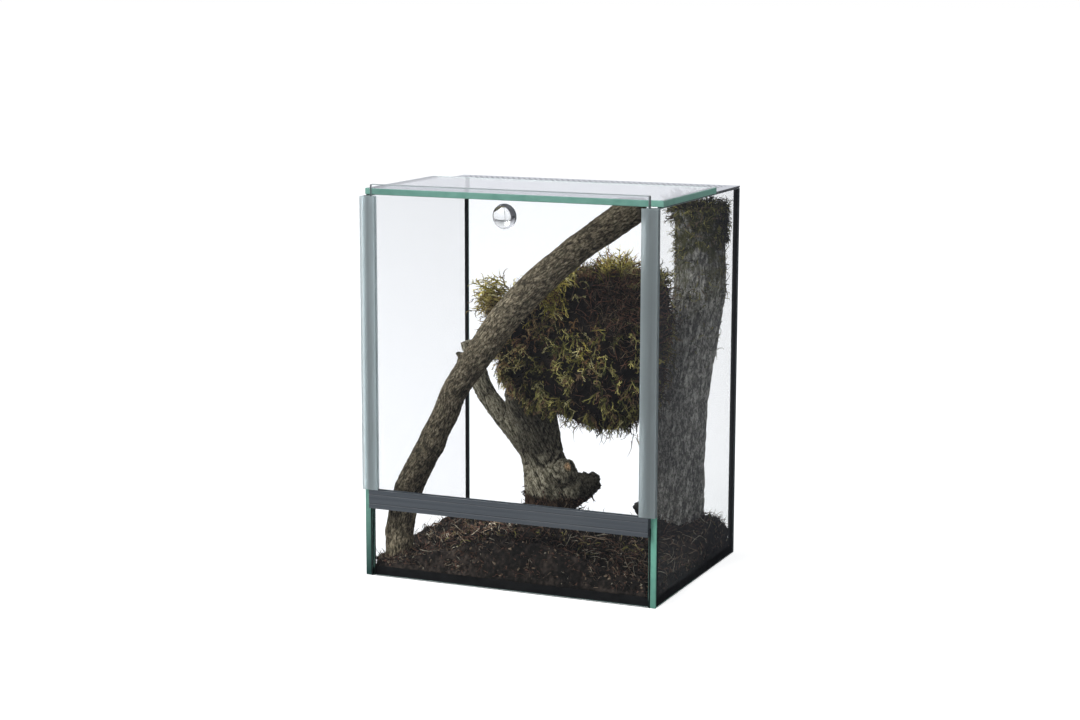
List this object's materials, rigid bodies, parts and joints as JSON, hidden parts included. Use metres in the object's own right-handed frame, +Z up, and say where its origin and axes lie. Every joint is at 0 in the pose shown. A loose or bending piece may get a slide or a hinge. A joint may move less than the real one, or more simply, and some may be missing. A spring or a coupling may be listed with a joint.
{
  "type": "reptile terrarium",
  "caption": "Small glass terrarium with a lift-up guillotine door in side rails, a top pane, a perforated vent and a planted interior.",
  "frame": {"origin": "centre of the underside of the tank, at the middle of the side panes' outer width and depth", "axes": "+Z up, -Y towards the door at the front, +X to the right seen from the front"},
  "size_m": [0.2008, 0.1585, 0.2535],
  "materials": {
    "glass": "clear float glass with green edges",
    "silicone": "black silicone",
    "rail_plastic": "translucent grey extruded plastic",
    "sill_plastic": "dark grey extruded plastic, satin",
    "vent_metal": "perforated mill-finish sheet",
    "clear_plastic": "clear moulded plastic",
    "bark": "rough grey-brown bark",
    "soil": "dark fibrous soil with moss and twigs",
    "moss": "dry olive moss"
  },
  "bodies": {
    "tank": {"floor_pane": "glass", "left_pane": "glass", "right_pane": "glass", "back_pane": "glass", "front_strip": "glass", "top_pane": "glass", "vent_plate": "vent_metal", "seam_floor_front": "silicone", "seam_floor_back": "silicone", "seam_floor_left": "silicone", "seam_floor_right": "silicone", "seam_back_left": "silicone", "seam_back_right": "silicone", "seam_front_left": "silicone", "seam_front_right": "silicone", "bed_top_left": "silicone", "bed_top_right": "silicone", "bed_vent": "silicone", "sill_profile": "sill_plastic", "left_rail": "rail_plastic", "right_rail": "rail_plastic", "substrate": "soil", "leaning_branch": "bark", "forked_stump": "bark", "upright_trunk": "bark", "moss_clump": "moss", "moss_cap": "moss"},
    "door": {"door_pane": "glass", "knob_pad": "clear_plastic", "door_knob": "clear_plastic"}
  },
  "joints": [
    {"name": "door_lift", "type": "slide", "parent": "tank", "child": "door", "axis": [0, 0, 1], "range_m": [0, 0.18]}
  ]
}
